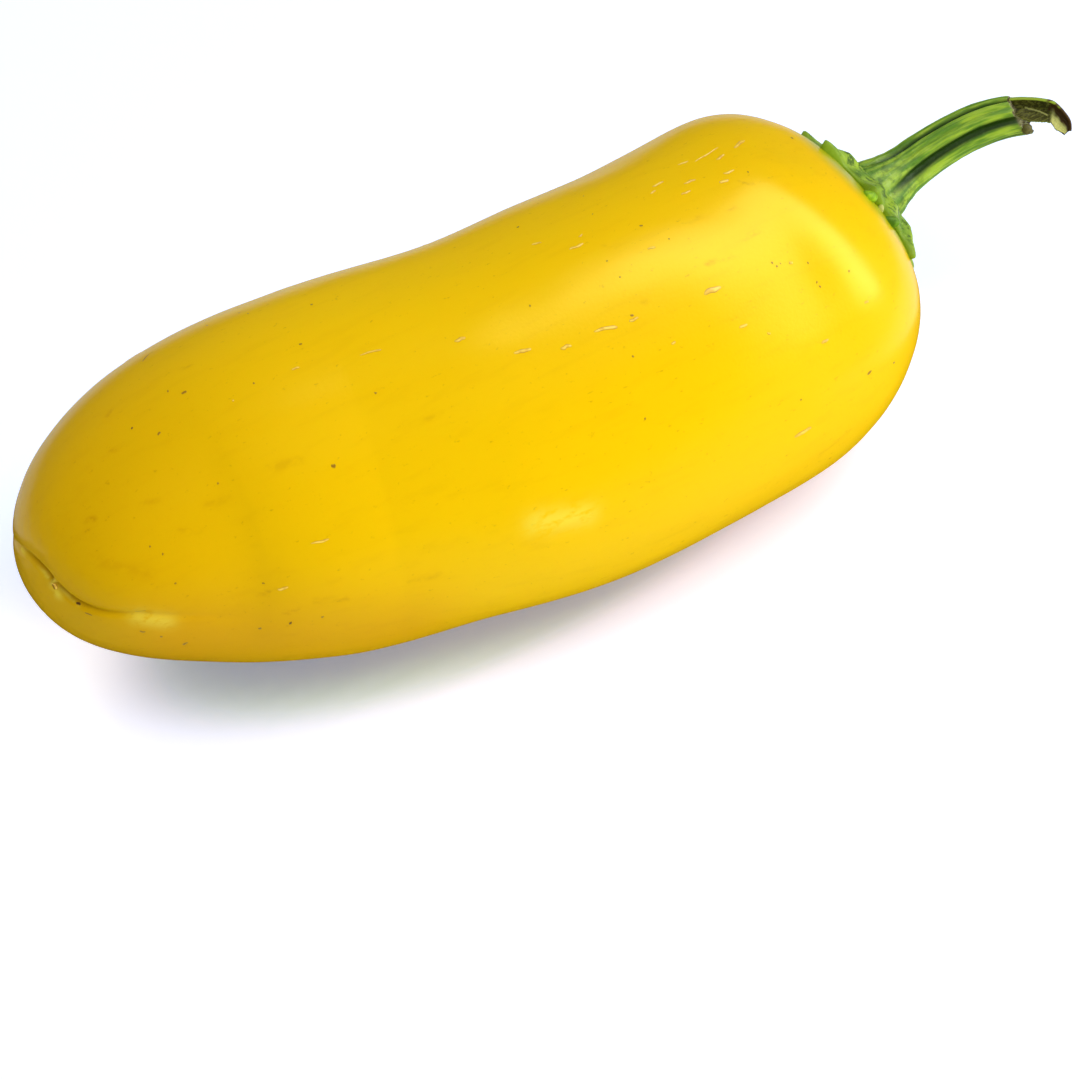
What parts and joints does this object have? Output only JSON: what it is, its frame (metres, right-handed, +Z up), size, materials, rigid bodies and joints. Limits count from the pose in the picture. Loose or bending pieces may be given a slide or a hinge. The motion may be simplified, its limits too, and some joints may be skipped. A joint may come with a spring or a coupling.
{
  "type": "lemon spice jalapeno pepper",
  "caption": "Whole ripe yellow jalapeno pepper with its green cap and ribbed, torn stalk, lying on its belly.",
  "frame": {"origin": "middle of the footprint of the part's box, on the surface that the pepper lies on", "axes": "+X from the blossom scar towards the stalk, +Y to the far side, +Z up"},
  "size_m": [0.0992, 0.0362, 0.032],
  "materials": {
    "pod_skin": "glossy waxy pepper skin, lemon yellow turning golden towards the blossom end, with fine corky dashes",
    "stem_green": "fresh green stalk tissue, ribbed, satin, brown where it was torn"
  },
  "bodies": {
    "root": {"pod": "pod_skin", "calyx_and_stem": "stem_green"}
  },
  "joints": []
}
